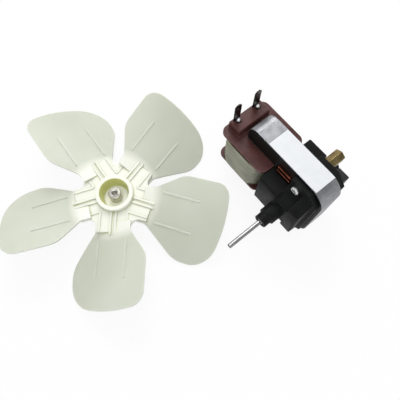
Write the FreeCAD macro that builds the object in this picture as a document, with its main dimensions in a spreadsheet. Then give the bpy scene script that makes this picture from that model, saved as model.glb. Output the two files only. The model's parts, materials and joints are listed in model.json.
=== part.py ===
"""Shaded-pole fan motor for a refrigerator, with its five-blade fan drawn off the shaft.

Millimetres, +Z up. The origin is on the rotor's axis, where the free shaft leaves the front hub.
The shaft points along -Y, the rotor end of the core along +X and the coil end along -X.
The motor rests on the long lower side of its core, and the fan lies beside it on its blades.
"""
import FreeCAD, Part
import math
import os
import re
import Sketcher

V = FreeCAD.Vector
SKETCH_START = 10.0  # where a sketch's corners lie before their ties draw them into place

# Driving sizes, each one written once
SIZES = {
    # Laminated core
    "stack_thick": 15.0,
    "half_height": 29.0,
    "rotor_end": 19.0,
    "coil_end": 42.5,
    "end_round": 12.0,
    "leg_round": 7.0,
    "window_edge": 17.5,
    "leg_height": 13.8,
    "air_gap": 0.35,
    "bridge_notch": 2.6,
    "notch_height": 2.4,
    "screw_across": 1.5,
    "screw_edge": 8.35,
    "core_hole": 2.2,
    # Coil core, bobbin and coil
    "coil_core_width": 10.0,
    "slip_gap": 0.1,
    "flange_across": 38.0,
    "flange_along": 35.4,
    "flange_thick": 1.8,
    "flange_round": 5.0,
    "tube_wall": 1.2,
    "winding_build": 9.0,
    "tape_thick": 1.2,
    # Terminal block and tabs
    "block_out": 17.4,
    "block_across": 9.3,
    "block_along": 24.4,
    "block_high": 6.5,
    "block_chamfer": 0.5,
    "tab_pitch": 15.0,
    "tab_wide": 4.8,
    "tab_thick": 0.8,
    "tab_rise": 14.4,
    "tab_sunk": 3.0,
    "tab_inset": 0.9,
    "tab_hole": 0.9,
    "tab_nose": 1.5,
    "foot_out": 2.8,
    "foot_wide": 3.2,
    "foot_thick": 0.9,
    # Shading rings
    "ring_inner_up": 15.8,
    "ring_outer_up": 19.8,
    "ring_near": 5.6,
    "ring_far": 14.6,
    "ring_wide": 2.8,
    "ring_thick": 1.6,
    "ring_slack": 0.15,
    "slit_wide": 0.8,
    # Rotor and shaft
    "rotor_radius": 12.5,
    "cage_bars": 13,
    "bar_wide": 1.8,
    "bar_deep": 2.4,
    "bar_cover": 0.5,
    "cage_end": 3.0,
    "cage_wall": 4.4,
    "cast_gap": 0.02,
    "journal_radius": 2.0,
    "free_radius": 1.5,
    "free_length": 24.3,
    "tip_chamfer": 0.4,
    # Shaft line, measured outwards from each face of the core
    "spacer_long": 5.2,
    "spacer_wall": 1.2,
    "washer_thick": 0.8,
    "washer_radius": 4.4,
    "end_play": 0.3,
    "retainer_thick": 0.6,
    "retainer_radius": 6.6,
    "retainer_bore": 3.0,
    "felt_long": 2.0,
    "felt_wall": 1.8,
    "bush_long": 6.4,
    "bush_wall": 1.9,
    "run_gap": 0.03,
    "seat_gap": 0.02,
    # Brackets
    "cup_depth": 12.0,
    "back_depth": 14.0,
    "front_ear": 3.0,
    "back_ear": 5.0,
    "plate_left": 18.0,
    "plate_right": 17.0,
    "ear_wall": 6.35,
    "plate_cut": 7.0,
    "cup_left": 18.0,
    "cup_right": 14.5,
    "cup_half": 21.0,
    "front_drop": 7.7,
    "back_drop": 6.0,
    "cup_bevel": 0.6,
    "rotor_room": 0.9,
    "ring_room": 1.2,
    "access_wide": 10.4,
    "access_floor": 16.4,
    "access_slope": 8.0,
    "hub_radius": 5.5,
    "tip_radius": 4.3,
    "hub_run": 8.0,
    "hub_tip": 5.1,
    "back_hub": 7.0,
    "hub_bore": 2.4,
    "blind_wall": 1.5,
    # Screws and standoffs
    "bolt_radius": 1.75,
    "thread_gap": 0.02,
    "head_radius": 2.75,
    "head_high": 2.2,
    "head_bevel": 0.8,
    "slot_wide": 0.8,
    "slot_deep": 0.9,
    "hex_flats": 7.0,
    "hex_long": 11.5,
    "tapped_radius": 2.0,
    "tapped_long": 6.5,
    # Label
    "label_thick": 0.1,
    "label_left": 27.0,
    "label_right": 10.8,
    "label_edge": 0.3,
    # Fan, with the blade's shares measured from the neck to the tip
    "fan_across": -73.7,
    "fan_along": -56.8,
    "fan_radius": 73.0,
    "blade_count": 5,
    "blade_turn": -38.6,
    "blade_thick": 1.7,
    "blade_start": 18.0,
    "root_drop": 4.3,
    "root_rise": 8.5,
    "root_camber": 2.0,
    "tip_drop": 1.0,
    "tip_rise": 17.4,
    "tip_camber": 2.8,
    "low_side": 26.3,
    "high_side": 22.9,
    "neck_half": 11.5,
    "neck_reach": 24.0,
    "low_flare": 0.47,
    "high_flare": 0.335,
    "low_corner": 0.8,
    "high_corner": 0.33,
    "flare_round": 0.7,
    "rib_from": 0.12,
    "rib_to": 0.61,
    "rib_offset": 9.5,
    "rib_wide": 1.0,
    "rib_rise": 0.6,
    "cup_rim": 12.0,
    "cup_mouth": 9.5,
    "cup_base": 8.3,
    "cup_inside": 9.4,
    "floor_thick": 2.6,
    "boss_radius": 7.2,
    "boss_drop": 15.0,
    "arm_half": 10.8,
    "arm_reach": 25.0,
    "arm_high": 4.0,
    "arm_thick": 3.0,
    "arm_round": 0.68,
    "spine_gap": 3.0,
    "spine_wide": 1.2,
    "spine_rise": 1.0,
    "spine_reach": 27.0,
    "edge_rib": 8.6,
    "edge_rib_near": 12.0,
    "fan_bush_radius": 4.05,
    "fan_bush_top": 1.8,
    "fan_bore_gap": 0.03,
}

# Places and sizes that follow from the driving ones, in the order they are worked out
PLACES = {
    "cup_front": "hub_tip + hub_run",
    "stack_front": "cup_front + cup_depth",
    "stack_back": "stack_front + stack_thick",
    "stack_mid": "stack_front + stack_thick / 2",
    "cup_back": "stack_back + back_depth",
    "window_half": "half_height - leg_height",
    "bore_radius": "rotor_radius + air_gap",
    "screw_up": "half_height - screw_edge",
    "plate_half": "screw_up + ear_wall",
    "coil_mid": "coil_core_width / 2 - coil_end",
    "flange_half": "window_half - slip_gap",
    "tube_across": "coil_core_width / 2 + slip_gap",
    "tube_along": "stack_thick / 2 + slip_gap",
    "wire_across": "tube_across + tube_wall + slip_gap",
    "wire_along": "tube_along + tube_wall + slip_gap",
    "coil_half": "flange_half - flange_thick - slip_gap",
    "tape_across": "wire_across + winding_build + slip_gap",
    "tape_along": "wire_along + winding_build + slip_gap",
    "block_top": "flange_half + block_high",
    "block_right": "block_across - block_out",
    "tab_left": "coil_mid - block_out + tab_inset",
    "bar_far": "rotor_radius - bar_cover",
    "bar_near": "bar_far - bar_deep",
    "notch_side": "access_wide / 2 - screw_across",
    "notch_up": "ring_inner_up - ring_wide / 2 - ring_slack",
    "washer_far": "spacer_long + washer_thick",
    "retainer_near": "washer_far + end_play",
    "felt_near": "retainer_near + retainer_thick",
    "bush_near": "felt_near + felt_long",
    "bush_far": "bush_near + bush_long",
    "journal_far": "bush_far + 0.5",
    "bush_outer": "journal_radius + run_gap + bush_wall",
    "room_far": "cage_end + ring_room",
    "back_end": "cup_back + back_hub",
}

doc = FreeCAD.newDocument("fan_motor")
sizes = doc.addObject("Spreadsheet::Sheet", "sizes")
places = doc.addObject("Spreadsheet::Sheet", "places")


def formula(text):
    """Spells a short formula out with the sheets' names in front of its words."""
    def spell(match):
        word = match.group(0)
        if word in SIZES:
            return "sizes." + word
        return "places." + word if word in PLACES else word
    return re.sub(r"[a-z_]+", spell, text)


for row, (alias, number) in enumerate(SIZES.items(), start=1):
    sizes.set("A%d" % row, alias)
    sizes.set("B%d" % row, str(number))
    sizes.setAlias("B%d" % row, alias)
doc.recompute()
for row, (alias, text) in enumerate(PLACES.items(), start=1):
    places.set("A%d" % row, alias)
    places.set("B%d" % row, "=" + formula(text))
    places.setAlias("B%d" % row, alias)
    doc.recompute()


def new_body(label):
    body = doc.addObject("PartDesign::Body", label)
    body.Label = label
    return body


def new_sketch(body, name, role, height="0"):
    """A sketch on one of the body's own planes, moved along that plane's normal."""
    sketch = body.newObject("Sketcher::SketchObject", name)
    plane = next(item for item in body.Origin.OriginFeatures if item.Role == role)
    sketch.AttachmentSupport = [(plane, "")]
    sketch.MapMode = "FlatFace"
    if height != "0":
        sketch.setExpression("AttachmentOffset.Base.z", formula(height))
    return sketch


def pin_point(sketch, geometry, point, across, up):
    """Ties one point of the sketch to two formulas, measured from the origin."""
    for kind, axis, text in (("DistanceX", -2, across), ("DistanceY", -1, up)):
        if text == "0":
            sketch.addConstraint(Sketcher.Constraint("PointOnObject", geometry, point, axis))
            continue
        start = -1.0 if text.startswith("-") else 1.0
        index = sketch.addConstraint(Sketcher.Constraint(kind, -1, 1, geometry, point, start))
        sketch.setExpression("Constraints[%d]" % index, formula(text))


def polygon(sketch, corners):
    """A closed outline whose corners are pairs of formulas."""
    first = sketch.GeometryCount
    count = len(corners)
    rough = [V(math.cos(math.tau * i / count), math.sin(math.tau * i / count), 0) * SKETCH_START
             for i in range(count)]
    for i in range(count):
        sketch.addGeometry(Part.LineSegment(rough[i], rough[(i + 1) % count]), False)
    for i in range(count):
        following = first + (i + 1) % count
        sketch.addConstraint(Sketcher.Constraint("Coincident", first + i, 2, following, 1))
    for i, (across, up) in enumerate(corners):
        pin_point(sketch, first + i, 1, across, up)


def rectangle(sketch, left, right, low, high):
    polygon(sketch, [(left, low), (right, low), (right, high), (left, high)])


def circle(sketch, across, up, radius):
    index = sketch.addGeometry(Part.Circle(V(1, 1, 0), V(0, 0, 1), 1.0), False)
    pin_point(sketch, index, 3, across, up)
    tie = sketch.addConstraint(Sketcher.Constraint("Radius", index, 1.0))
    sketch.setExpression("Constraints[%d]" % tie, formula(radius))


def front_sketch(body, name, along):
    """A sketch that faces the fan's side, at a distance along +Y; across is X and up is Z."""
    return new_sketch(body, name, "XZ_Plane", "-(%s)" % along)


def pad(body, name, sketch, length, towards=True):
    """Pads a sketch by a formula; on a front sketch, towards=True grows along +Y."""
    feature = body.newObject("PartDesign::Pad", name)
    feature.Profile = sketch
    feature.setExpression("Length", formula(length))
    feature.Reversed = towards
    return feature


def pocket(body, name, sketch, length, towards=True, middle=False):
    """Cuts a sketch out by a formula, and checks that it took something away."""
    doc.recompute()
    before = body.Shape.Volume
    feature = body.newObject("PartDesign::Pocket", name)
    feature.Profile = sketch
    feature.setExpression("Length", formula(length))
    feature.Midplane = middle
    feature.Reversed = not towards
    doc.recompute()
    if not body.Shape.Volume < before:
        raise ValueError("%s cuts nothing" % name)
    return feature


def turn(body, name, profile, kind="PartDesign::Revolution"):
    """Turns a profile of (distance along Y, radius) pairs about the rotor's axis."""
    sketch = new_sketch(body, name + "_profile", "YZ_Plane")
    polygon(sketch, profile)
    feature = body.newObject(kind, name)
    feature.Profile = sketch
    feature.ReferenceAxis = (sketch, ["H_Axis"])
    feature.Angle = 360
    return feature


def runs_along(edge, axis):
    """True for a straight edge that runs along one axis, 0 for X, 1 for Y and 2 for Z."""
    if not isinstance(edge.Curve, Part.Line):
        return False
    start, end = edge.Vertexes[0].Point, edge.Vertexes[-1].Point
    moved = [abs(end[i] - start[i]) for i in range(3)]
    return moved[axis] > 0.999 * sum(moved)


def edge_names(shape, wanted):
    return ["Edge%d" % (i + 1) for i, edge in enumerate(shape.Edges) if wanted(edge)]


def round_edges(body, name, radius, wanted):
    """Rounds the edges that a test picks out of the body so far."""
    doc.recompute()
    base = body.Tip
    feature = body.newObject("PartDesign::Fillet", name)
    feature.Base = (base, edge_names(base.Shape, wanted))
    feature.setExpression("Radius", formula(radius))
    return feature


def chamfer_edges(body, name, size, wanted):
    doc.recompute()
    base = body.Tip
    feature = body.newObject("PartDesign::Chamfer", name)
    feature.Base = (base, edge_names(base.Shape, wanted))
    feature.setExpression("Size", formula(size))
    return feature


def outward(side, distance):
    """The place along Y of a distance measured outwards from the core's front or back face."""
    return "stack_front - (%s)" % distance if side == "front" else "stack_back + (%s)" % distance


def ring(label, side, near, far, inner, outer):
    """A plain ring on the rotor's axis, between two distances from a face of the core."""
    body = new_body(label)
    ends = (outward(side, near), outward(side, far))
    turn(body, label + "_turn", [(ends[0], inner), (ends[1], inner), (ends[1], outer), (ends[0], outer)])
    return body


# Laminated core: a C with the rotor's bore in its closed end, the window for the coil and two legs
core = new_body("stator_core")
core_outline = front_sketch(core, "core_outline", "stack_front")
polygon(core_outline, [
    ("-coil_end", "half_height"), ("rotor_end", "half_height"),
    ("rotor_end", "-half_height"), ("-coil_end", "-half_height"),
    ("-coil_end", "-window_half"), ("-window_edge", "-window_half"),
    ("-window_edge", "window_half"), ("-coil_end", "window_half")])
circle(core_outline, "0", "0", "bore_radius")
for place in ("screw_up", "-screw_up"):
    circle(core_outline, "screw_across", place, "core_hole")
pad(core, "core_stack", core_outline, "stack_thick")
round_edges(core, "core_rounds", "end_round", lambda edge: runs_along(edge, 1)
            and edge.Vertexes[0].X > 0.99 * sizes.rotor_end
            and abs(edge.Vertexes[0].Z) > 0.99 * sizes.half_height)
round_edges(core, "leg_rounds", "leg_round", lambda edge: runs_along(edge, 1)
            and edge.Vertexes[0].X < -0.99 * sizes.coil_end
            and abs(edge.Vertexes[0].Z) > 0.99 * sizes.half_height)

# Shading slots in opposite pole tips, each inner one open to the bore through a slit
slots = front_sketch(core, "shading_slots", "stack_front")
for turned in (False, True):
    mark, other = ("", "-") if turned else ("-", "")
    for height in ("ring_inner_up", "ring_outer_up"):
        for reach in ("ring_near", "ring_far"):
            leg = "%s(%s)" % (mark, reach)
            rectangle(slots, "%s - ring_thick / 2 - ring_slack" % leg,
                      "%s + ring_thick / 2 + ring_slack" % leg,
                      "%s(%s) - ring_wide / 2 - ring_slack" % (other, height),
                      "%s(%s) + ring_wide / 2 + ring_slack" % (other, height))
pocket(core, "shading_cut", slots, "stack_thick")
slits = front_sketch(core, "slot_slits", "stack_front")
for mark, other in (("-", ""), ("", "-")):
    rectangle(slits, "%s(ring_near) - slit_wide / 2" % mark, "%s(ring_near) + slit_wide / 2" % mark,
              "%s(bore_radius - 2)" % other, "%s(ring_inner_up)" % other)
pocket(core, "slit_cut", slits, "stack_thick")

# Notches beside the bore leave the thin bridges between the two poles
notches = front_sketch(core, "bridge_notches", "stack_front")
for mark in ("-", ""):
    rectangle(notches, "%s(bore_radius - 1)" % mark, "%s(bore_radius + bridge_notch)" % mark,
              "-notch_height / 2", "notch_height / 2")
pocket(core, "notch_cut", notches, "stack_thick")

# Straight core through the coil, held between the two legs
bar = new_body("coil_core")
bar_outline = front_sketch(bar, "bar_outline", "stack_front")
rectangle(bar_outline, "-coil_end", "coil_core_width - coil_end", "-window_half", "window_half")
pad(bar, "bar_stack", bar_outline, "stack_thick")

# Bobbin: two flanges on a square tube, with the terminal block moulded on the upper flange
bobbin = new_body("bobbin")


def flange_sketch(name, height):
    sketch = new_sketch(bobbin, name, "XY_Plane", height)
    rectangle(sketch, "coil_mid - flange_across / 2", "coil_mid + flange_across / 2",
              "stack_mid - flange_along / 2", "stack_mid + flange_along / 2")
    return sketch


pad(bobbin, "lower_flange", flange_sketch("lower_outline", "-flange_half"), "flange_thick", False)
tube = new_sketch(bobbin, "tube_outline", "XY_Plane", "-flange_half")
rectangle(tube, "coil_mid - tube_across - tube_wall", "coil_mid + tube_across + tube_wall",
          "stack_mid - tube_along - tube_wall", "stack_mid + tube_along + tube_wall")
pad(bobbin, "tube_pad", tube, "flange_half * 2", False)
pad(bobbin, "upper_flange", flange_sketch("upper_outline", "flange_half - flange_thick"),
    "flange_thick", False)
round_edges(bobbin, "flange_corners", "flange_round", lambda edge: runs_along(edge, 2)
            and edge.Length < 2 * sizes.flange_thick)
block = new_sketch(bobbin, "block_outline", "XY_Plane", "flange_half")
rectangle(block, "coil_mid - block_out", "coil_mid + block_right", "stack_mid - block_along / 2",
          "stack_mid + block_along / 2")
pad(bobbin, "block_pad", block, "block_high", False)
chamfer_edges(bobbin, "block_bevel", "block_chamfer",
              lambda edge: edge.BoundBox.ZMin > places.block_top - 0.01)
opening = new_sketch(bobbin, "core_opening", "XY_Plane", "-flange_half - slip_gap")
rectangle(opening, "coil_mid - tube_across", "coil_mid + tube_across", "stack_mid - tube_along",
          "stack_mid + tube_along")
pocket(bobbin, "opening_cut", opening, "flange_half * 2 + slip_gap * 2", False)
tab_slots = new_sketch(bobbin, "tab_slots", "XY_Plane", "block_top")
for mark in ("-", "+"):
    rectangle(tab_slots, "tab_left", "tab_left + tab_thick",
              "stack_mid %s tab_pitch / 2 - tab_wide / 2" % mark,
              "stack_mid %s tab_pitch / 2 + tab_wide / 2" % mark)
pocket(bobbin, "tab_slot_cut", tab_slots, "tab_sunk")


def coil_ring(label, inner_across, inner_along, outer_across, outer_along):
    """A rectangular ring about the bobbin's tube, between its flanges."""
    body = new_body(label)
    sketch = new_sketch(body, label + "_outline", "XY_Plane", "-coil_half")
    for across, along in ((inner_across, inner_along), (outer_across, outer_along)):
        rectangle(sketch, "coil_mid - (%s)" % across, "coil_mid + (%s)" % across,
                  "stack_mid - (%s)" % along, "stack_mid + (%s)" % along)
    pad(body, label + "_pad", sketch, "coil_half * 2", False)
    return body


# Enamelled winding, and the tape wound over it, which bulges between the flanges
winding = coil_ring("winding", "wire_across", "wire_along", "wire_across + winding_build",
                    "wire_along + winding_build")
round_edges(winding, "winding_corners", "winding_build - 0.5", lambda edge: runs_along(edge, 2)
            and abs(edge.Vertexes[0].X - places.coil_mid) > places.wire_across + 1)
tape = coil_ring("coil_tape", "tape_across", "tape_along", "tape_across + tape_thick",
                 "tape_along + tape_thick")
round_edges(tape, "tape_inner_corners", "winding_build - 0.5", lambda edge: runs_along(edge, 2)
            and abs(edge.Vertexes[0].X - places.coil_mid) < places.tape_across + 0.01)
round_edges(tape, "tape_corners", "winding_build - 0.5 + tape_thick", lambda edge: runs_along(edge, 2)
            and abs(edge.Vertexes[0].X - places.coil_mid) > places.tape_across + sizes.tape_thick - 0.01)

# Flat tabs with a wire foot, pressed into the terminal block
for label, mark in (("terminal_front", "-"), ("terminal_back", "+")):
    tab = new_body(label)
    blade = new_sketch(tab, label + "_blade", "YZ_Plane", "tab_left")
    middle = "stack_mid %s tab_pitch / 2" % mark
    polygon(blade, [
        ("%s - tab_wide / 2" % middle, "block_top - tab_sunk"),
        ("%s + tab_wide / 2" % middle, "block_top - tab_sunk"),
        ("%s + tab_wide / 2" % middle, "block_top + tab_rise - tab_nose"),
        ("%s + tab_wide / 2 - tab_nose" % middle, "block_top + tab_rise"),
        ("%s - tab_wide / 2 + tab_nose" % middle, "block_top + tab_rise"),
        ("%s - tab_wide / 2" % middle, "block_top + tab_rise - tab_nose")])
    circle(blade, middle, "block_top + tab_rise - tab_wide * 0.8", "tab_hole")
    pad(tab, label + "_pad", blade, "tab_thick", False)
    foot = new_sketch(tab, label + "_foot", "XY_Plane", "block_top")
    rectangle(foot, "tab_left", "tab_left + tab_thick + foot_out", "%s - foot_wide / 2" % middle,
              "%s + foot_wide / 2" % middle)
    pad(tab, label + "_foot_pad", foot, "foot_thick", False)

# Copper shading rings, two round each shaded pole tip
ring_names = ("shading_ring_upper_inner", "shading_ring_upper_outer",
              "shading_ring_lower_inner", "shading_ring_lower_outer")
for index, label in enumerate(ring_names):
    loop = new_body(label)
    mark, other = ("-", "") if index < 2 else ("", "-")
    height = "ring_inner_up" if index % 2 == 0 else "ring_outer_up"
    outline = new_sketch(loop, label + "_outline", "XY_Plane", "%s(%s) - ring_wide / 2" % (other, height))
    for grow in ("ring_thick / 2", "-ring_thick / 2"):
        near, far = ("ring_near - (%s)" % grow, "ring_far + (%s)" % grow)
        left, right = (far, near) if mark else (near, far)
        depth = "stack_thick / 2 + ring_slack + ring_thick / 2 + (%s)" % grow
        rectangle(outline, "%s(%s)" % (mark, left), "%s(%s)" % (mark, right),
                  "stack_mid - (%s)" % depth, "stack_mid + (%s)" % depth)
    pad(loop, label + "_pad", outline, "ring_wide", False)

# Rotor: laminated drum with cast bars in its slots, and the cast rings that join them
drum = new_body("rotor_core")
drum_outline = front_sketch(drum, "drum_outline", "stack_front")
circle(drum_outline, "0", "0", "rotor_radius")
circle(drum_outline, "0", "0", "journal_radius")
pad(drum, "drum_stack", drum_outline, "stack_thick")


def polar_pattern(body, name, feature):
    """Repeats a feature evenly about the rotor's axis, once for each cage bar."""
    pattern = body.newObject("PartDesign::PolarPattern", name)
    pattern.Originals = [feature]
    pattern.Axis = (next(item for item in body.Origin.OriginFeatures if item.Role == "Y_Axis"), [""])
    pattern.Angle = 360
    pattern.setExpression("Occurrences", formula("cage_bars"))
    body.Tip = pattern


first_hole = front_sketch(drum, "first_hole", "stack_front")
rectangle(first_hole, "-bar_wide / 2 - cast_gap", "bar_wide / 2 + cast_gap",
          "bar_near - cast_gap", "bar_far + cast_gap")
polar_pattern(drum, "bar_holes", pocket(drum, "first_hole_cut", first_hole, "stack_thick"))

cage = new_body("rotor_cage")


def cage_ring(name, near, far):
    turn(cage, name, [(near, "rotor_radius - cage_wall"), (far, "rotor_radius - cage_wall"),
                      (far, "rotor_radius - slip_gap"), (near, "rotor_radius - slip_gap")])


cage_ring("front_cage_ring", "stack_front - cage_end", "stack_front")
first_bar = front_sketch(cage, "first_bar", "stack_front - cage_end / 2")
rectangle(first_bar, "-bar_wide / 2", "bar_wide / 2", "bar_near", "bar_far")
polar_pattern(cage, "bars", pad(cage, "first_bar_pad", first_bar, "stack_thick + cage_end"))
cage_ring("back_cage_ring", "stack_back", "stack_back + cage_end")

# Shaft: a journal through the rotor and both bushes, turned down at the free end for the fan
shaft = new_body("shaft")
turn(shaft, "shaft_turn", [
    ("-free_length", "0"), ("-free_length", "free_radius - tip_chamfer"),
    ("tip_chamfer - free_length", "free_radius"), ("0", "free_radius"), ("0", "journal_radius"),
    ("stack_back + journal_far - tip_chamfer", "journal_radius"),
    ("stack_back + journal_far", "journal_radius - tip_chamfer"), ("stack_back + journal_far", "0")])

# What lies along the shaft on each side of the core, from the rotor outwards
for side in ("front", "back"):
    ring(side + "_spacer", side, "0", "spacer_long", "journal_radius", "journal_radius + spacer_wall")
    ring(side + "_thrust_washer", side, "spacer_long", "washer_far", "journal_radius", "washer_radius")
    ring(side + "_retainer", side, "retainer_near", "felt_near", "retainer_bore", "retainer_radius")
    ring(side + "_oil_felt", side, "felt_near", "bush_near", "bush_outer - felt_wall", "bush_outer")
    ring(side + "_bush", side, "bush_near", "bush_far", "journal_radius + run_gap", "bush_outer")


def bracket(side, ear, depth, drop, hub_steps):
    """A moulded bearing bracket: screw plate, tapered cup over the rotor's end, and bearing hub."""
    body = new_body(side + "_bracket")
    inwards = side == "back"
    plate = front_sketch(body, side + "_plate", outward(side, "0"))
    polygon(plate, [
        ("-plate_left", "plate_half - plate_cut"), ("plate_cut - plate_left", "plate_half"),
        ("plate_right - plate_cut", "plate_half"), ("plate_right", "plate_half - plate_cut"),
        ("plate_right", "plate_cut - plate_half"), ("plate_right - plate_cut", "-plate_half"),
        ("plate_cut - plate_left", "-plate_half"), ("-plate_left", "plate_cut - plate_half")])
    pad(body, side + "_plate_pad", plate, ear, inwards)
    cup = new_sketch(body, side + "_cup_profile", "YZ_Plane", "-cup_left")
    polygon(cup, [(outward(side, ear), "-cup_half"), (outward(side, depth), "%s - cup_half" % drop),
                  (outward(side, depth), "cup_half - %s" % drop), (outward(side, ear), "cup_half")])
    pad(body, side + "_cup", cup, "cup_left + cup_right", False)
    far = places.cup_front if side == "front" else places.cup_back
    chamfer_edges(body, side + "_cup_bevels", "cup_bevel", lambda edge: all(
        abs(vertex.Y - far) < 0.01 for vertex in edge.Vertexes))
    start = outward(side, "%s - hub_tip / 2" % depth)
    turn(body, side + "_hub", [(start, "0"), (start, hub_steps[0][1])] + hub_steps + [(hub_steps[-1][0], "0")])
    # Room inside for the cage ring, for the retainer, and for the felt and bush, and the bore beyond them
    bore_end = "0" if side == "front" else outward(side, "%s + back_hub - blind_wall" % depth)
    room = [(outward(side, "-slip_gap"), "0"), (outward(side, "-slip_gap"), "rotor_radius + rotor_room")]
    for distance, radius, following in (
            ("room_far", "rotor_radius + rotor_room", "retainer_radius + seat_gap"),
            ("felt_near", "retainer_radius + seat_gap", "bush_outer + seat_gap"),
            ("bush_far", "bush_outer + seat_gap", "hub_bore")):
        room += [(outward(side, distance), radius), (outward(side, distance), following)]
    room += [(bore_end, "hub_bore"), (bore_end, "0")]
    if side == "front":
        room[-2:] = [("-slip_gap", "hub_bore"), ("-slip_gap", "0")]
    turn(body, side + "_room", room, "PartDesign::Groove")
    # Sloping ways in to the two screws, and their holes
    access = new_sketch(body, side + "_access", "YZ_Plane", "screw_across")
    for mark in ("", "-"):
        polygon(access, [
            (outward(side, ear), "%s(access_floor)" % mark),
            (outward(side, "%s + 1" % depth), "%s(access_slope)" % mark),
            (outward(side, "%s + 1" % depth), "%s(half_height)" % mark),
            (outward(side, ear), "%s(half_height)" % mark)])
    pocket(body, side + "_access_cut", access, "access_wide", middle=True)
    # Corner left open over the upper shading rings, and a recess over the lower ones
    notch = front_sketch(body, side + "_ring_notch", outward(side, "0"))
    rectangle(notch, "-plate_left - 1", "-notch_side", "notch_up", "plate_half + 1")
    pocket(body, side + "_notch_cut", notch, "%s + 1" % depth, inwards)
    recess = front_sketch(body, side + "_ring_recess", outward(side, "0"))
    rectangle(recess, "ring_near - ring_thick / 2 - ring_slack", "ring_far + ring_thick / 2 + ring_slack",
              "-ring_outer_up - ring_wide / 2 - ring_slack", "-notch_up")
    pocket(body, side + "_recess_cut", recess, "ring_thick + ring_slack * 2", inwards)
    holes = front_sketch(body, side + "_screw_holes", outward(side, "0"))
    for place in ("screw_up", "-screw_up"):
        circle(holes, "screw_across", place, "core_hole")
    pocket(body, side + "_hole_cut", holes, ear, inwards)
    return body


bracket("front", "front_ear", "cup_depth", "front_drop", [
    ("hub_tip", "hub_radius"), ("hub_tip", "tip_radius"), ("0", "tip_radius")])
bracket("back", "back_ear", "back_depth", "back_drop", [("back_end", "hub_radius")])

# Long screws from the front, and the hexagonal standoffs that they draw up behind the core
for label, place in (("upper", "screw_up"), ("lower", "-screw_up")):
    screw = new_body(label + "_screw")
    shank = front_sketch(screw, label + "_shank", "stack_front - front_ear")
    circle(shank, "screw_across", place, "bolt_radius")
    pad(screw, label + "_shank_pad", shank, "front_ear + stack_thick + back_ear + hex_long - tapped_long")
    head = front_sketch(screw, label + "_head", "stack_front - front_ear - head_high")
    circle(head, "screw_across", place, "head_radius")
    pad(screw, label + "_head_pad", head, "head_high")
    chamfer_edges(screw, label + "_head_bevel", "head_bevel", lambda edge: edge.BoundBox.YMax
                < places.stack_front - sizes.front_ear - sizes.head_high + 0.01)
    slot = front_sketch(screw, label + "_slot", "stack_front - front_ear - head_high")
    rectangle(slot, "screw_across - head_radius - 1", "screw_across + head_radius + 1",
              "%s - slot_wide / 2" % place, "%s + slot_wide / 2" % place)
    pocket(screw, label + "_slot_cut", slot, "slot_deep")
    standoff = new_body(label + "_standoff")
    hexagon = front_sketch(standoff, label + "_hexagon", "stack_back + back_ear")
    corner = "hex_flats * 0.288675"
    polygon(hexagon, [
        ("screw_across + hex_flats / 2", "%s - %s" % (place, corner)),
        ("screw_across + hex_flats / 2", "%s + %s" % (place, corner)),
        ("screw_across", "%s + 2 * %s" % (place, corner)),
        ("screw_across - hex_flats / 2", "%s + %s" % (place, corner)),
        ("screw_across - hex_flats / 2", "%s - %s" % (place, corner)),
        ("screw_across", "%s - 2 * %s" % (place, corner))])
    circle(hexagon, "screw_across", place, "bolt_radius + thread_gap")
    pad(standoff, label + "_hex_pad", hexagon, "hex_long")
    tapped = front_sketch(standoff, label + "_tapped", "stack_back + back_ear + hex_long - tapped_long")
    circle(tapped, "screw_across", place, "tapped_radius")
    pocket(standoff, label + "_tapped_cut", tapped, "tapped_long")

# Bare label on the long upper side of the core
label_sheet = doc.addObject("Part::Box", "label")
label_sheet.Label = "label"
for name, text in (("Length", "label_left + label_right"), ("Width", "stack_thick - label_edge * 2"),
                   ("Height", "label_thick"), ("Placement.Base.x", "-label_left"),
                   ("Placement.Base.y", "stack_front + label_edge"), ("Placement.Base.z", "half_height")):
    label_sheet.setExpression(name, formula(text))


# Fan, modelled about its own axis with the cup's rim at zero
hub = new_body("fan_hub")
hub_profile = new_sketch(hub, "hub_profile", "XZ_Plane")
polygon(hub_profile, [
    ("fan_bush_radius", "-cup_inside"), ("cup_base", "-cup_inside"), ("cup_mouth", "0"), ("cup_rim", "0"),
    ("cup_rim", "-cup_inside - floor_thick"), ("boss_radius", "-cup_inside - floor_thick"),
    ("boss_radius", "-boss_drop"), ("fan_bush_radius", "-boss_drop")])
hub_turn = hub.newObject("PartDesign::Revolution", "hub_turn")
hub_turn.Profile = hub_profile
hub_turn.ReferenceAxis = (hub_profile, ["V_Axis"])
hub_turn.Angle = 360
doc.recompute()


def long_box(start, end, middle, wide, low, high):
    """A box along the blade, centred sideways on one line."""
    return Part.makeBox(end - start, wide, high - low, V(start, middle - wide / 2, low))


def turned_copies(shape):
    """The shape once for each blade, evenly about the fan's axis."""
    copies = []
    for index in range(int(sizes.blade_count)):
        copy = shape.copy()
        copy.rotate(V(0, 0, 0), V(0, 0, 1), sizes.blade_turn + index * 360 / sizes.blade_count)
        copies.append(copy)
    return copies


def arm_plate():
    """The flat star of the arms, rounded in the corners where one arm meets the next."""
    arms = turned_copies(long_box(0, sizes.arm_reach, 0, sizes.arm_half * 2,
                                  -sizes.arm_high - sizes.arm_thick, -sizes.arm_high))
    star = arms[0].fuse(arms[1:]).removeSplitter()
    half_turn = math.pi / sizes.blade_count
    corner = sizes.arm_half / math.sin(half_turn)
    inner = [edge for edge in star.Edges if runs_along(edge, 2)
             and abs(math.hypot(edge.Vertexes[0].X, edge.Vertexes[0].Y) - corner) < 0.01]
    straight = sizes.arm_reach - sizes.arm_half / math.tan(half_turn)
    return star.makeFillet(sizes.arm_round * straight * math.tan(half_turn), inner)


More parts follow.
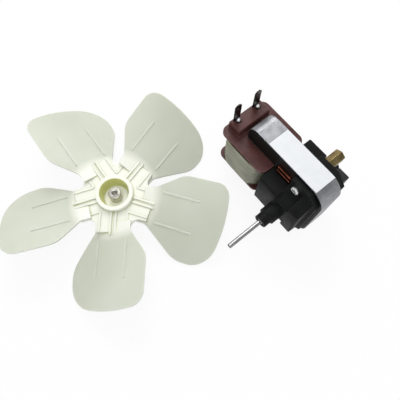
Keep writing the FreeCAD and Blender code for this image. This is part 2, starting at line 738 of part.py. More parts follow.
def blade_sheet(lift, thick):
    """A thick sheet under the blade's surface, which is pitched and domed more and more towards the tip.

    Across the blade its height is rise * s - camber * s^2 - drop, with s the share of the wider side.
    The surface is ruled from that parabola at the arm to the one at the tip.
    """
    wide = sizes.low_side * 1.1
    length = sizes.fan_radius * 1.03 - sizes.blade_start
    share = wide / sizes.low_side
    poles = []
    for reach, drop, slope, camber in (
            (sizes.blade_start, sizes.root_drop, sizes.root_rise, sizes.root_camber),
            (sizes.blade_start + length, sizes.tip_drop, sizes.tip_rise, sizes.tip_camber)):
        middle, climb, bend = lift - drop, slope * share, camber * share ** 2
        poles.append([V(reach, -wide, middle - climb - bend), V(reach, 0, middle + bend),
                      V(reach, wide, middle + climb - bend)])
    surface = Part.BezierSurface()
    surface.increase(1, 2)
    for i, row in enumerate(poles):
        for j, pole in enumerate(row):
            surface.setPole(i + 1, j + 1, pole)
    return surface.toShape().extrude(V(0, 0, -thick))


def blade_plan():
    """The blade's outline seen from above, as a tall block with its corners rounded."""
    tip, neck, half = sizes.fan_radius, sizes.neck_reach, sizes.neck_half
    start, tall = sizes.blade_start - 1, sizes.fan_radius
    low, high = sizes.low_side, sizes.high_side
    low_shoulder = neck + (tip - neck) * sizes.low_flare
    high_shoulder = neck + (tip - neck) * sizes.high_flare
    low_tip, high_tip = math.sqrt(tip ** 2 - low ** 2), math.sqrt(tip ** 2 - high ** 2)
    corners = [(start, -half), (neck, -half), (low_shoulder, -low), (tip + 1, -low), (tip + 1, high),
               (high_shoulder, high), (neck, half), (start, half)]
    wire = Part.makePolygon([V(x, y, -tall / 2) for x, y in corners + corners[:1]])
    block = Part.Face(wire).extrude(V(0, 0, tall)).common(Part.makeCylinder(tip, tall, V(0, 0, -tall / 2)))
    low_flare = math.hypot(low_shoulder - neck, low - half)
    high_flare = math.hypot(high_shoulder - neck, high - half)
    for radius, x, y in (
            ((low_tip - low_shoulder) * sizes.low_corner, low_tip, -low),
            ((high_tip - high_shoulder) * sizes.high_corner, high_tip, high),
            (low_flare * sizes.flare_round, low_shoulder, -low),
            (high_flare * sizes.flare_round, high_shoulder, high),
            (half / 2, neck, -half), (half / 2, neck, half)):
        corner = [edge for edge in block.Edges if runs_along(edge, 2)
                  and abs(edge.Vertexes[0].X - x) < 0.01 and abs(edge.Vertexes[0].Y - y) < 0.01]
        block = block.makeFillet(radius, corner)
    return block


def blade_with_ribs():
    """One blade with its two ribs, and the double spine and the two edge ribs on its arm."""
    pieces = []
    neck, blade_long = sizes.neck_reach, sizes.fan_radius - sizes.neck_reach
    arm_low, arm_top = -sizes.arm_high - sizes.arm_thick, -sizes.arm_high
    for mark in (-1, 1):
        pieces.append(long_box(sizes.cup_mouth + 1, sizes.spine_reach, mark * sizes.spine_gap / 2,
                               sizes.spine_wide, arm_low, arm_top + sizes.spine_rise))
        pieces.append(long_box(sizes.edge_rib_near, sizes.arm_reach, mark * sizes.edge_rib,
                               sizes.spine_wide, arm_low, arm_top + sizes.rib_rise))
        rib = long_box(neck + blade_long * sizes.rib_from, neck + blade_long * sizes.rib_to,
                       mark * sizes.rib_offset, sizes.rib_wide, -blade_long, blade_long)
        pieces.append(blade_sheet(sizes.rib_rise, sizes.rib_rise + sizes.blade_thick / 2).common(rib))
    return blade_sheet(0, sizes.blade_thick).common(blade_plan()).fuse(pieces)


plate = doc.addObject("Part::Feature", "arm_plate")
plate.Shape = arm_plate()
blades = []
for index, shape in enumerate(turned_copies(blade_with_ribs())):
    blade = doc.addObject("Part::Feature", "blade_%d" % (index + 1))
    blade.Shape = shape
    blades.append(blade)
fan_whole = doc.addObject("Part::MultiFuse", "fan_whole")
fan_whole.Shapes = [hub, plate] + blades
cup_space = doc.addObject("Part::Cone", "cup_space")
for name, text in (("Radius1", "cup_base"), ("Radius2", "cup_mouth"), ("Height", "cup_inside"),
                   ("Placement.Base.z", "-cup_inside")):
    cup_space.setExpression(name, formula(text))
fan = doc.addObject("Part::Cut", "fan")
fan.Base = fan_whole
fan.Tool = cup_space
fan.Label = "fan"
doc.recompute()
fan_bush = doc.addObject("PartDesign::Body", "fan_bush")
fan_bush.Label = "fan_bush"
bush_profile = new_sketch(fan_bush, "bush_profile", "XZ_Plane")
rectangle(bush_profile, "free_radius + fan_bore_gap", "fan_bush_radius", "-boss_drop", "-fan_bush_top")
bush_turn = fan_bush.newObject("PartDesign::Revolution", "bush_turn")
bush_turn.Profile = bush_profile
bush_turn.ReferenceAxis = (bush_profile, ["V_Axis"])
bush_turn.Angle = 360
doc.recompute()

# The fan rests beside the motor on its blades' low edges
lowest = fan.Shape.optimalBoundingBox().ZMin
beside = V(sizes.fan_across, sizes.fan_along, -sizes.half_height - lowest)
for piece in (fan, fan_bush):
    piece.Placement = FreeCAD.Placement(beside, FreeCAD.Rotation())
doc.recompute()
print("fan rim height above the table", round(-lowest, 2))

# Every object is checked before any file is written
for item in doc.Objects:
    if "Invalid" in item.State or "Error" in item.State:
        raise ValueError("%s failed" % item.Name)
kept = [item for item in doc.Objects if item.TypeId == "PartDesign::Body" and item is not hub]
kept += [label_sheet, fan]
for item in kept:
    if item.Shape.isNull() or not item.Shape.isValid() or not item.Shape.Solids:
        raise ValueError("%s has no valid solid" % item.Label)
os.makedirs("parts", exist_ok=True)
for item in kept:
    item.Shape.exportStep("parts/%s.step" % item.Label)
    print(item.Label, len(item.Shape.Solids), round(item.Shape.Volume, 1))
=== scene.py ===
"""Dresses the refrigerator fan motor and its fan, in metres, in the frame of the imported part."""
import json
import math

import bmesh
import bpy
import numpy as np
from mathutils import Matrix, Vector

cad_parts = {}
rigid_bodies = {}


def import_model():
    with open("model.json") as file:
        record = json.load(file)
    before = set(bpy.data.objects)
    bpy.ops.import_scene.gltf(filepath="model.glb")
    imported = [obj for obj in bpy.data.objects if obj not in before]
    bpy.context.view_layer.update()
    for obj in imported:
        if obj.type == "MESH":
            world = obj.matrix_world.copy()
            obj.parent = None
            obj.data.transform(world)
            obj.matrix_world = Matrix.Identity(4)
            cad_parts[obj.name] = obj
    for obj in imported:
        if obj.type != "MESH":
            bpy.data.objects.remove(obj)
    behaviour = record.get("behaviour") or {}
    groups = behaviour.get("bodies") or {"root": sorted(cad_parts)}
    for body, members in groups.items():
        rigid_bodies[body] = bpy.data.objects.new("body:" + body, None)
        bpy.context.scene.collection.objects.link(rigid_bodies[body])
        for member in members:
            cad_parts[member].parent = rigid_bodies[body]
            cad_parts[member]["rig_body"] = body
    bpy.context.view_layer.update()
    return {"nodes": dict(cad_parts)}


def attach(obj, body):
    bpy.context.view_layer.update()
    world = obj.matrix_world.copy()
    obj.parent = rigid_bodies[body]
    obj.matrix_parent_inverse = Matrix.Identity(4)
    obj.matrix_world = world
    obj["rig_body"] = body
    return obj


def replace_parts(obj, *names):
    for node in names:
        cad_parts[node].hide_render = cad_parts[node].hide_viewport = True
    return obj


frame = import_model()

# Camera: it looks down on the table from the fan's side, as the photograph does.
# Its turn, height and distance were worked out from the core's corners and the fan's tips.
TURN = math.radians(51.25)
RISE = math.radians(70.67)
CORE_MIDDLE = Vector((0, 0.0326, 0))
ASIDE, ABOVE, AWAY = 0.06115, 0.00624, 0.24583
LENS_MM = 36
SENSOR_MM = 36
to_right = Vector((math.cos(TURN), math.sin(TURN), 0))
to_back = Vector((math.sin(TURN) * math.cos(RISE), -math.cos(TURN) * math.cos(RISE), math.sin(RISE)))
to_top = to_back.cross(to_right)
camera = bpy.data.objects.new("camera", bpy.data.cameras.new("camera"))
camera.data.lens = LENS_MM
camera.data.sensor_width = SENSOR_MM
camera.data.clip_start = 0.01
camera.matrix_world = Matrix.Translation(
    CORE_MIDDLE - ASIDE * to_right - ABOVE * to_top + AWAY * to_back) @ Matrix(
    (to_right, to_top, to_back)).transposed().to_4x4()
bpy.context.scene.collection.objects.link(camera)
bpy.context.scene.camera = camera
bpy.context.scene.view_settings.view_transform = "Standard"


# Studio: a white table under a dim dome with a pale wall round its foot, and two soft lamps.
# The table is white to the camera and in reflections, and keeps a faint shadow of the object.
TABLE_HEIGHT = -0.029
TABLE_WHITE = (0.9, 0.9, 0.9, 1)
TABLE_GLOW = 0.9
TABLE_REACH = 3.0
WALL_LIGHT, DOME_LIGHT = 1.0, 0.45
WALL_TOP, DOME_FOOT = 0.3, 0.5
WHITE = (1, 1, 1, 1)
LIT_POINT = (-0.03, -0.01, 0)
KEY_PLACE, KEY_SIZE, KEY_POWER = (-0.54, 0.32, 0.7), 0.5, 4.1
FILL_PLACE, FILL_SIZE, FILL_POWER = (0.1, -0.1, 0.85), 0.6, 2.4


def new_material(name):
    """An empty node material: returns it with its tree and its principled shader."""
    material = bpy.data.materials.new(name)
    material.use_nodes = True
    return material, material.node_tree, material.node_tree.nodes["Principled BSDF"]


def link(tree, start, end):
    """Joins one socket to another."""
    tree.links.new(start, end)


def node(tree, kind, **values):
    """A node of one kind, with its own settings and the defaults of its named inputs."""
    made = tree.nodes.new(kind)
    for name, value in values.items():
        if name.startswith("in_"):
            made.inputs[name[3:].replace("_", " ")].default_value = value
        else:
            setattr(made, name, value)
    return made


def maths(tree, operation, *values):
    """One maths node on numbers and sockets; returns its value."""
    made = node(tree, "ShaderNodeMath", operation=operation)
    for index, value in enumerate(values):
        if isinstance(value, (int, float)):
            made.inputs[index].default_value = value
        else:
            link(tree, value, made.inputs[index])
    return made.outputs[0]


def spread(tree, value, low, high, first=0.0, second=1.0):
    """Maps a socket's stretch from low to high onto first to second, held at its ends."""
    ranged = node(tree, "ShaderNodeMapRange")
    link(tree, value, ranged.inputs["Value"])
    for name, number in (("From Min", low), ("From Max", high), ("To Min", first), ("To Max", second)):
        ranged.inputs[name].default_value = number
    return ranged.outputs["Result"]


def lamp(name, place, aim, size, power):
    """A square area lamp of one size and power, turned towards a point."""
    data = bpy.data.lights.new(name, "AREA")
    data.size = size
    data.energy = power
    made = bpy.data.objects.new(name, data)
    made.location = place
    made.rotation_euler = (Vector(aim) - Vector(place)).to_track_quat("-Z", "Y").to_euler()
    bpy.context.scene.collection.objects.link(made)


floor_mesh = bpy.data.meshes.new("floor")
floor_mesh.from_pydata([(x * TABLE_REACH, y * TABLE_REACH, TABLE_HEIGHT)
                        for x, y in ((-1, -1), (1, -1), (1, 1), (-1, 1))], [], [(0, 1, 2, 3)])
floor = bpy.data.objects.new("floor", floor_mesh)
bpy.context.scene.collection.objects.link(floor)
floor_material, tree, shader = new_material("table_white")
shader.inputs["Base Color"].default_value = TABLE_WHITE
shader.inputs["Roughness"].default_value = 0.9
shader.inputs["Specular IOR Level"].default_value = 0.1
rays = node(tree, "ShaderNodeLightPath")
seen = maths(tree, "MAXIMUM", rays.outputs["Is Camera Ray"], rays.outputs["Is Glossy Ray"])
seen = maths(tree, "MAXIMUM", seen, rays.outputs["Is Transmission Ray"])
glow = node(tree, "ShaderNodeEmission", in_Color=WHITE, in_Strength=1.0)
mixed = node(tree, "ShaderNodeMixShader")
link(tree, maths(tree, "MULTIPLY", seen, TABLE_GLOW), mixed.inputs[0])
link(tree, shader.outputs[0], mixed.inputs[1])
link(tree, glow.outputs[0], mixed.inputs[2])
link(tree, mixed.outputs[0], tree.nodes["Material Output"].inputs["Surface"])
floor_mesh.materials.append(floor_material)

world = bpy.data.worlds.new("studio")
bpy.context.scene.world = world
world.use_nodes = True
tree = world.node_tree
parts = node(tree, "ShaderNodeSeparateXYZ")
link(tree, node(tree, "ShaderNodeTexCoord").outputs["Generated"], parts.inputs["Vector"])
link(tree, spread(tree, parts.outputs["Z"], WALL_TOP, DOME_FOOT, WALL_LIGHT, DOME_LIGHT),
     tree.nodes["Background"].inputs["Strength"])
tree.nodes["Background"].inputs["Color"].default_value = WHITE
lamp("key", KEY_PLACE, LIT_POINT, KEY_SIZE, KEY_POWER)
lamp("fill", FILL_PLACE, LIT_POINT, FILL_SIZE, FILL_POWER)


# Core: a stack of half-millimetre electrical sheets, varnished nearly black on their faces.
# The stack's edges are bare blue-grey metal, with a fine line at each sheet.
SHEET_THICK = 0.0005
VARNISH = (0.005, 0.0055, 0.0055, 1)
BARE_EDGE = (0.37, 0.373, 0.388, 1)
BARE_SHADE = (0.26, 0.264, 0.28, 1)
GAP_DARK = (0.07, 0.07, 0.08, 1)


def object_noise(tree, scale, detail=3.0, rough=0.55):
    """Noise on object coordinates; returns its Fac socket."""
    noise = node(tree, "ShaderNodeTexNoise", in_Scale=scale, in_Detail=detail, in_Roughness=rough)
    link(tree, node(tree, "ShaderNodeTexCoord").outputs["Object"], noise.inputs["Vector"])
    return noise.outputs["Fac"]


def blend_colours(tree, amount, first, second):
    """Mixes two colours, each a constant or a socket, by a socket; returns the colour."""
    mix = node(tree, "ShaderNodeMix", data_type="RGBA")
    for index, colour in ((6, first), (7, second)):
        if isinstance(colour, tuple):
            mix.inputs[index].default_value = colour
        else:
            link(tree, colour, mix.inputs[index])
    link(tree, amount, mix.inputs[0])
    return mix.outputs[2]


def bump(tree, shader, height, distance, strength=0.5, edge_radius=None):
    """Raises the surface by a height, over edges that shade as rounded if a radius is given."""
    made = node(tree, "ShaderNodeBump", in_Strength=strength, in_Distance=distance)
    if edge_radius:
        rounded = node(tree, "ShaderNodeBevel", samples=6, in_Radius=edge_radius)
        link(tree, rounded.outputs["Normal"], made.inputs["Normal"])
    link(tree, height, made.inputs["Height"])
    link(tree, made.outputs["Normal"], shader.inputs["Normal"])


def painted_highlight_edges(tree, radius, low=0.9, high=0.995):
    """1 along edges sharper than a radius and 0 elsewhere, from how far a rounded normal leans; a mask for
    painted highlights along edges.
    """
    rounded = node(tree, "ShaderNodeBevel", samples=4, in_Radius=radius)
    lean = node(tree, "ShaderNodeVectorMath", operation="DOT_PRODUCT")
    link(tree, rounded.outputs["Normal"], lean.inputs[0])
    link(tree, node(tree, "ShaderNodeNewGeometry").outputs["Normal"], lean.inputs[1])
    return spread(tree, lean.outputs["Value"], low, high, 1.0, 0.0)


def dress(pieces, material):
    """Gives pieces one material."""
    for piece in pieces:
        for place in piece.material_slots:
            place.material = material


def carried(*names):
    """The pieces of these names as the frame carries them over."""
    return [frame["nodes"][name] for name in names]


SHARP_EDGE = math.radians(35)
MERGE_GAP = 1e-6
FLAT_ANGLE = 0.003


def softened(name, width, segments=2):
    """A copy of a carried-over piece with its flat faces joined and its sharp edges rounded."""
    mesh = frame["nodes"][name].data.copy()
    if "custom_normal" in mesh.attributes:
        mesh.attributes.remove(mesh.attributes["custom_normal"])
    joined = bmesh.new()
    joined.from_mesh(mesh)
    bmesh.ops.remove_doubles(joined, verts=joined.verts, dist=MERGE_GAP)
    bmesh.ops.dissolve_limit(joined, angle_limit=FLAT_ANGLE, verts=joined.verts, edges=joined.edges)
    joined.to_mesh(mesh)
    joined.free()
    mesh.shade_smooth()
    made = bpy.data.objects.new(name + "_softened", mesh)
    bpy.context.scene.collection.objects.link(made)
    edge = made.modifiers.new("rounded_edges", "BEVEL")
    edge.width = width
    edge.segments = segments
    edge.limit_method = "ANGLE"
    edge.angle_limit = SHARP_EDGE
    edge.harden_normals = True
    edge.use_clamp_overlap = False
    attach(made, frame["nodes"][name]["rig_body"])
    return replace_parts(made, name)


core_material, tree, shader = new_material("core_sheets")
place = node(tree, "ShaderNodeTexCoord")
split = node(tree, "ShaderNodeSeparateXYZ")
link(tree, place.outputs["Normal"], split.inputs["Vector"])
on_face = spread(tree, maths(tree, "ABSOLUTE", split.outputs["Y"]), 0.75, 0.95)
along = node(tree, "ShaderNodeSeparateXYZ")
link(tree, place.outputs["Object"], along.inputs["Vector"])
sheets = maths(tree, "PINGPONG", along.outputs["Y"], SHEET_THICK / 2)
lines = spread(tree, sheets, 0.0, SHEET_THICK / 5)
edge_colour = blend_colours(tree, spread(tree, object_noise(tree, 170.0, 5.0), 0.38, 0.62),
                            BARE_EDGE, BARE_SHADE)
edge_colour = blend_colours(tree, lines, GAP_DARK, edge_colour)
link(tree, blend_colours(tree, on_face, edge_colour, VARNISH), shader.inputs["Base Color"])
link(tree, spread(tree, on_face, 0, 1, 0.85, 0.0), shader.inputs["Metallic"])
link(tree, spread(tree, object_noise(tree, 700.0), 0.3, 0.7, 0.36, 0.5), shader.inputs["Roughness"])
shader.inputs["Specular IOR Level"].default_value = 0.2
bump(tree, shader, lines, 0.00003, 0.25)
dress([softened("stator_core", 0.00015)] + carried("coil_core", "rotor_core"), core_material)


# Bobbin: moulded in one piece with its terminal block, in maroon nylon.
# Its skin is a little glossy, with a fine orange-peel texture, and its edges are painted paler as a
# painted highlight.
MAROON = (0.094, 0.036, 0.032, 1)
MAROON_DEEP = (0.056, 0.02, 0.018, 1)
MAROON_PAINTED_HIGHLIGHT = (0.19, 0.1, 0.095, 1)
bobbin_material, tree, shader = new_material("maroon_nylon")
skin = blend_colours(tree, spread(tree, object_noise(tree, 120.0), 0.35, 0.65), MAROON, MAROON_DEEP)
# Painted highlight: the edges are painted a paler maroon.
link(tree, blend_colours(tree, painted_highlight_edges(tree, 0.0005), skin, MAROON_PAINTED_HIGHLIGHT), shader.inputs["Base Color"])
link(tree, spread(tree, object_noise(tree, 300.0), 0.3, 0.7, 0.28, 0.42), shader.inputs["Roughness"])
shader.inputs["Specular IOR Level"].default_value = 0.19
bump(tree, shader, object_noise(tree, 2200.0), 0.00003, 0.3)
dress([softened("bobbin", 0.00018)], bobbin_material)


# Coil: enamelled wire wound on the bobbin and covered with cream cloth tape.
# The tape is wound in overlapping turns, bellies out and pulls in towards the flanges.
COIL_MIDDLE = (-0.0375, 0.0326)
COIL_HALF = (0.0167, 0.0192)
COIL_CORNER = 0.0095
TAPE_END = 0.0132
TAPE_THICK = 0.0035
TAPE_PULL = 0.0007
TAPE_PITCH = 0.0044
TAPE_STEP = 0.00028
TAPE_SLOPE = 0.85
PULL_POWER = 2.6
AROUND, UPWARD = 220, 90
TAPE_CREAM = (0.35, 0.35, 0.265, 1)
TAPE_SHADE = (0.21, 0.215, 0.155, 1)
COPPER = (0.33, 0.105, 0.06, 1)
COPPER_DARK = (0.1, 0.03, 0.02, 1)


def surface(name, points, body, material, close_last=True):
    """A smooth mesh over a grid of points that closes along its first way, and its last if asked."""
    first, last = points.shape[:2]
    start = np.arange(first)[:, None] * last
    step = np.arange(last if close_last else last - 1)[None, :]
    after, beside = (start + last) % (first * last), (step + 1) % last
    faces = np.stack([start + step, after + step, after + beside, start + beside], axis=-1).reshape(-1, 4)
    mesh = bpy.data.meshes.new(name)
    mesh.from_pydata(points.reshape(-1, 3).tolist(), [], faces.tolist())
    merged = bmesh.new()
    merged.from_mesh(mesh)
    bmesh.ops.remove_doubles(merged, verts=merged.verts, dist=1e-7)
    bmesh.ops.recalc_face_normals(merged, faces=merged.faces)
    merged.to_mesh(mesh)
    merged.free()
    mesh.shade_smooth()
    mesh.materials.append(material)
    made = bpy.data.objects.new(name, mesh)
    bpy.context.scene.collection.objects.link(made)
    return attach(made, body)


def rounded_path(half_x, half_y, corner, count):
    """Points of a rounded rectangle's inner corners, outward normals and lengths, evenly spaced.

    A point on the path is its inner corner's straight, shared out by length, plus corner times the normal.
    """
    straights = np.array([half_x - corner, half_y - corner]) * 2
    lengths = np.tile([straights[1], corner * math.pi / 2, straights[0], corner * math.pi / 2], 2)
    ends = np.concatenate([[0], np.cumsum(lengths)])
    at = np.linspace(0, ends[-1], count, endpoint=False)
    side = np.clip(np.searchsorted(ends, at, side="right") - 1, 0, 7)
    share = (at - ends[side]) / lengths[side]
    angle = (side // 2 + np.where(side % 2, share, 0.0)) * math.pi / 2
    normal = np.stack([np.cos(angle), np.sin(angle)], axis=-1)
    corners = np.array([[1, -1], [1, 1], [-1, 1], [-1, -1]]) * np.array([half_x - corner, half_y - corner])
    here, there = corners[(side // 2) % 4], corners[(side // 2 + 1) % 4]
    inner = np.where((side % 2)[:, None] == 1, there, here + (there - here) * share[:, None])
    return inner, normal, at, ends[-1]


tape_material, tree, shader = new_material("cream_tape")
weave = node(tree, "ShaderNodeTexVoronoi", in_Scale=1500.0)
link(tree, node(tree, "ShaderNodeTexCoord").outputs["Object"], weave.inputs["Vector"])
cloth = blend_colours(tree, spread(tree, object_noise(tree, 110.0, 4.0), 0.3, 0.7), TAPE_CREAM, TAPE_SHADE)
threads = spread(tree, weave.outputs["Distance"], 0.2, 0.9, 0.0, 0.35)
link(tree, blend_colours(tree, threads, cloth, TAPE_SHADE), shader.inputs["Base Color"])
shader.inputs["Roughness"].default_value = 0.5
bump(tree, shader, weave.outputs["Distance"], 0.00004, 0.35)

# A point of the tape is its place on the path, pushed out by the corner less a pull that grows with the
# height to a power, plus a step that climbs along each turn's width and drops at its edge.
inner, normal, at, whole = rounded_path(*COIL_HALF, COIL_CORNER, AROUND)
rise = np.linspace(-1, 1, UPWARD)
turns = (rise[None, :] * TAPE_END + at[:, None] / whole * TAPE_PITCH) / TAPE_PITCH % 1.0
climb = np.clip(turns / TAPE_SLOPE, 0, 1)
drop = np.clip((turns - TAPE_SLOPE) / (1 - TAPE_SLOPE), 0, 1)
ridge = TAPE_STEP * (climb - drop)
belly = COIL_CORNER - TAPE_STEP - TAPE_PULL * np.abs(rise[None, :]) ** PULL_POWER + ridge
inside = np.full((len(at), 2), COIL_CORNER - TAPE_THICK)
reach = np.concatenate([belly, inside], axis=1)
height = np.concatenate([rise * TAPE_END, [TAPE_END, -TAPE_END]])
flat = np.array(COIL_MIDDLE) + inner[:, None, :] + reach[:, :, None] * normal[:, None, :]
upright = np.broadcast_to(height[None, :, None], flat.shape[:2] + (1,))
tape = surface("tape", np.concatenate([flat, upright], axis=2), "root", tape_material)
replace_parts(tape, "coil_tape")


def metal(name, light, dark, rough, scale):
    """A metal with a slow change of tone and fine scratches in its gloss."""
    material, tree, shader = new_material(name)
    tone = object_noise(tree, scale)
    link(tree, blend_colours(tree, spread(tree, tone, 0.3, 0.7), light, dark), shader.inputs["Base Color"])
    shader.inputs["Metallic"].default_value = 1.0
    link(tree, spread(tree, object_noise(tree, scale * 6), 0.3, 0.7, rough * 0.75, rough * 1.3),
         shader.inputs["Roughness"])
    return material


dress(carried("winding"), metal("enamelled_wire", COPPER, COPPER_DARK, 0.35, 400.0))


# Shading rings: heavy copper wire bent round the pole tips and closed behind the core.
# It is dull and dark with age, and its edges are rounded.
copper_material = metal("copper_bar", COPPER, COPPER_DARK, 0.24, 300.0)
dress([softened("shading_ring_%s_%s" % (row, ring), 0.0004, 3)
       for row in ("upper", "lower") for ring in ("inner", "outer")], copper_material)


# Tabs: tinned brass strip gone dark, pushed into the block and soldered at the foot.
TAB_FEET = [(-0.0522, 0.0251), (-0.0522, 0.0401)]
FOOT_HEIGHT = 0.0223
SOLDER_RADIUS = 0.0015
SOLDER_HIGH = 0.0013
SOLDER_LONG, SOLDER_NARROW = 1.1, 0.9
BLOB_SIDES, BLOB_RINGS = 48, 16
TABS_TONE = ((0.05, 0.048, 0.044, 1), (0.02, 0.019, 0.0175, 1))
SOLDER_TONE = ((0.86, 0.86, 0.86, 1), (0.68, 0.68, 0.7, 1))
dress([softened("terminal_front", 0.00012), softened("terminal_back", 0.00012)],
      metal("tinned_strip", *TABS_TONE, 0.3, 500.0))

# A blob of solder is a lumpy half dome: its radius swells and shrinks on the way round, and its
# height is a cosine.
solder_material = metal("solder", *SOLDER_TONE, 0.28, 600.0)
angle = np.linspace(0, 2 * math.pi, BLOB_SIDES, endpoint=False)[:, None]
lift = np.linspace(0, math.pi / 2, BLOB_RINGS)[None, :]
lumps = 1 + 0.07 * np.cos(2 * angle + 1) + 0.03 * np.cos(5 * angle)
closing = np.zeros((BLOB_SIDES, 1))
wide = np.concatenate([SOLDER_RADIUS * lumps * np.sin(lift), closing], axis=1)
dome = np.broadcast_to(SOLDER_HIGH * np.cos(lift), (BLOB_SIDES, BLOB_RINGS))
high = np.concatenate([dome, closing], axis=1)
for number, (x, y) in enumerate(TAB_FEET):
    blob = np.stack([x + SOLDER_LONG * wide * np.cos(angle), y + SOLDER_NARROW * wide * np.sin(angle),
                     FOOT_HEIGHT + high], axis=-1)
    solder = surface("solder_%d" % (number + 1), blob, "root", solder_material, close_last=False)


# Brackets: black glass-filled plastic, moulded, with a dull and slightly grainy skin.
# Their edges are painted a little paler, a painted highlight along them.
BLACK = (0.006, 0.006, 0.0065, 1)
BLACK_SOFT = (0.011, 0.012, 0.0115, 1)
BLACK_PAINTED_HIGHLIGHT = (0.06, 0.06, 0.061, 1)
bracket_material, tree, shader = new_material("black_plastic")
skin = blend_colours(tree, spread(tree, object_noise(tree, 140.0), 0.3, 0.7), BLACK, BLACK_SOFT)
# Painted highlight: sharp edges are painted a paler grey.
link(tree, blend_colours(tree, maths(tree, "MULTIPLY", painted_highlight_edges(tree, 0.0004), 0.7), skin, BLACK_PAINTED_HIGHLIGHT),
     shader.inputs["Base Color"])
link(tree, spread(tree, object_noise(tree, 400.0), 0.3, 0.7, 0.46, 0.54), shader.inputs["Roughness"])
shader.inputs["Specular IOR Level"].default_value = 0.08
bump(tree, shader, object_noise(tree, 1800.0), 0.00004, 0.3)
dress([softened("front_bracket", 0.00035, 3), softened("back_bracket", 0.00035, 3)], bracket_material)


# Rotor and what lies along its shaft: steel shaft, cast cage, bronze bushes, felt rings,
# nylon spacers and washers, and thin spring-steel retainers. All but the shaft are inside.
# Each tone is a pair: the colour and its darker patches.
SHAFT_TONE = ((0.36, 0.36, 0.368, 1), (0.24, 0.24, 0.244, 1))
CAGE_TONE = ((0.65, 0.66, 0.67, 1), (0.45, 0.46, 0.47, 1))
BUSH_TONE = ((0.5, 0.34, 0.18, 1), (0.3, 0.2, 0.1, 1))
SPRING_TONE = ((0.5, 0.5, 0.52, 1), (0.3, 0.3, 0.32, 1))
FELT_TONE = ((0.5, 0.43, 0.3, 1), (0.3, 0.25, 0.17, 1))
NYLON_TONE = ((0.75, 0.73, 0.66, 1), (0.6, 0.58, 0.5, 1))
dress([softened("shaft", 0.0003)], metal("ground_steel", *SHAFT_TONE, 0.14, 200.0))
dress(carried("rotor_cage"), metal("cast_aluminium", *CAGE_TONE, 0.45, 300.0))
dress(carried("front_bush", "back_bush"), metal("sintered_bronze", *BUSH_TONE, 0.5, 900.0))
dress(carried("front_retainer", "back_retainer"), metal("spring_steel", *SPRING_TONE, 0.3, 300.0))


def plain(name, light, dark, rough, scale):
    """A dull solid colour with a slow change of tone and a fine grain."""
    material, tree, shader = new_material(name)
    link(tree, blend_colours(tree, spread(tree, object_noise(tree, scale), 0.3, 0.7), light, dark),
         shader.inputs["Base Color"])
    shader.inputs["Roughness"].default_value = rough
    bump(tree, shader, object_noise(tree, scale * 8), 0.00005, 0.3)
    return material


dress(carried("front_oil_felt", "back_oil_felt"), plain("oiled_felt", *FELT_TONE, 0.95, 500.0))
dress(carried("front_spacer", "front_thrust_washer", "back_spacer", "back_thrust_washer"),
      plain("natural_nylon", *NYLON_TONE, 0.4, 300.0))


# Screws and standoffs: zinc-plated pan-head screws, and drawn brass hexagons behind the core.
# The brass is dull and brownish.
ZINC_TONE = ((0.78, 0.79, 0.8, 1), (0.5, 0.51, 0.52, 1))
BRASS_TONE = ((0.27, 0.205, 0.095, 1), (0.14, 0.1, 0.045, 1))
dress([softened("upper_screw", 0.0002), softened("lower_screw", 0.0002)],
      metal("zinc_plate", *ZINC_TONE, 0.22, 400.0))
dress([softened("upper_standoff", 0.00025), softened("lower_standoff", 0.00025)],
      metal("drawn_brass", *BRASS_TONE, 0.3, 250.0))


# Label: white film stuck on the upper edge of the core. It is bare.
FILM_WHITE = (0.75, 0.77, 0.79, 1)
FILM_GREY = (0.7, 0.72, 0.75, 1)
label_material, tree, shader = new_material("white_film")
link(tree, blend_colours(tree, spread(tree, object_noise(tree, 200.0), 0.3, 0.7), FILM_WHITE, FILM_GREY),
     shader.inputs["Base Color"])
shader.inputs["Roughness"].default_value = 0.35
bump(tree, shader, object_noise(tree, 300.0), 0.00006, 0.2)
dress(carried("label"), label_material)


# Fan: moulded ivory plastic, pressed over a turned steel bush. Its blades are thin and look
# greyer, and its hub and arms are thick and white. The cup's steep inner wall is painted a darker
# yellow as painted glow and shade, and its floor is painted paler as painted light. The creases
# round the hub are painted darker as painted shade, and the edges carry a painted highlight.
FAN_MIDDLE = (-0.0737, -0.0568, 0)
IVORY_THICK = (0.86, 0.87, 0.78, 1)
IVORY_THIN = (0.61, 0.638, 0.555, 1)
IVORY_THIN_DEEP = (0.562, 0.585, 0.488, 1)
IVORY_PAINTED_HIGHLIGHT = (0.9, 0.92, 0.84, 1)
IVORY_PAINTED_SHADE = (0.5, 0.53, 0.3, 1)
PAINTED_WALL_GLOW_AND_SHADE = (0.74, 0.76, 0.28, 1)
PAINTED_LIGHT_CUP_FLOOR = (0.97, 0.97, 0.92, 1)
BUSH_TURNED = ((0.62, 0.6, 0.55, 1), (0.36, 0.35, 0.31, 1))
FLOOR_END, WALL_START = 0.0075, 0.0079
WALL_END, MOUTH_EDGE = 0.0101, 0.0104
THICK_END, THIN_START = 0.0245, 0.031
fan_material, tree, shader = new_material("ivory_plastic")
place = node(tree, "ShaderNodeTexCoord")
centred = node(tree, "ShaderNodeMapping", vector_type="POINT")
centred.inputs["Location"].default_value = tuple(-value for value in FAN_MIDDLE)
link(tree, place.outputs["Object"], centred.inputs["Vector"])
across = node(tree, "ShaderNodeVectorMath", operation="MULTIPLY")
across.inputs[1].default_value = (1, 1, 0)
link(tree, centred.outputs["Vector"], across.inputs[0])
radius = node(tree, "ShaderNodeVectorMath", operation="LENGTH")
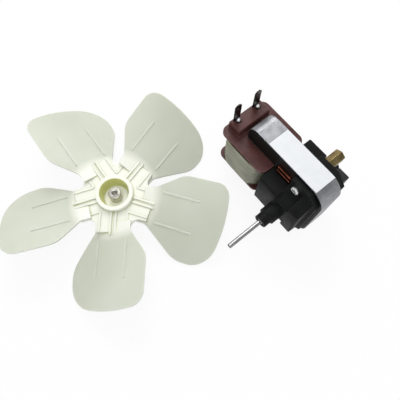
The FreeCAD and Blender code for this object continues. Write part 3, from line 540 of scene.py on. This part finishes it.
link(tree, across.outputs["Vector"], radius.inputs[0])
radius = radius.outputs["Value"]
leaning = node(tree, "ShaderNodeSeparateXYZ")
link(tree, place.outputs["Normal"], leaning.inputs["Vector"])
steep = spread(tree, maths(tree, "ABSOLUTE", leaning.outputs["Z"]), 0.35, 0.75, 1.0, 0.0)
in_cup = maths(tree, "MULTIPLY", spread(tree, radius, MOUTH_EDGE, WALL_END),
               spread(tree, radius, FLOOR_END, WALL_START))
thin = blend_colours(tree, spread(tree, object_noise(tree, 25.0), 0.3, 0.7), IVORY_THIN, IVORY_THIN_DEEP)
ivory = blend_colours(tree, spread(tree, radius, THICK_END, THIN_START), IVORY_THICK, thin)
# Painted highlight: edges and ribs are painted paler.
ivory = blend_colours(tree, painted_highlight_edges(tree, 0.0006, 0.8, 0.98), ivory, IVORY_PAINTED_HIGHLIGHT)
# Painted shade: creases and recesses near the hub are painted darker and yellower, from how occluded they
# are.
painted_nook_shade = node(tree, "ShaderNodeAmbientOcclusion", samples=6, only_local=True, in_Distance=0.0016)
painted_nook_shade = maths(tree, "MULTIPLY", spread(tree, painted_nook_shade.outputs["AO"], 0.35, 0.9, 0.9, 0.0),
              spread(tree, radius, 0.0265, 0.0285, 1.0, 0.0))
painted_nook_shade = maths(tree, "MULTIPLY", painted_nook_shade, spread(tree, radius, 0.0062, 0.0076))
ivory = blend_colours(tree, painted_nook_shade, ivory, IVORY_PAINTED_SHADE)
# Painted light: the cup's floor is painted near white, against the shadow of the cup's wall.
ivory = blend_colours(tree, spread(tree, radius, FLOOR_END, WALL_START, 1.0, 0.0), ivory, PAINTED_LIGHT_CUP_FLOOR)
# Painted glow and shade: steep faces inside the cup are painted a darker yellow.
painted_wall_mask = maths(tree, "MULTIPLY", steep, in_cup)
link(tree, blend_colours(tree, painted_wall_mask, ivory, PAINTED_WALL_GLOW_AND_SHADE), shader.inputs["Base Color"])
link(tree, spread(tree, object_noise(tree, 60.0), 0.3, 0.7, 0.28, 0.42), shader.inputs["Roughness"])
shader.inputs["Subsurface Weight"].default_value = 0.2
shader.inputs["Subsurface Scale"].default_value = 0.003
shader.inputs["Subsurface Radius"].default_value = (1.0, 1.0, 0.7)
bump(tree, shader, object_noise(tree, 90.0, 2.0), 0.0002, 0.1, edge_radius=0.0004)
dress(carried("fan"), fan_material)
dress([softened("fan_bush", 0.0006, 3)], metal("turned_steel", *BUSH_TURNED, 0.26, 300.0))
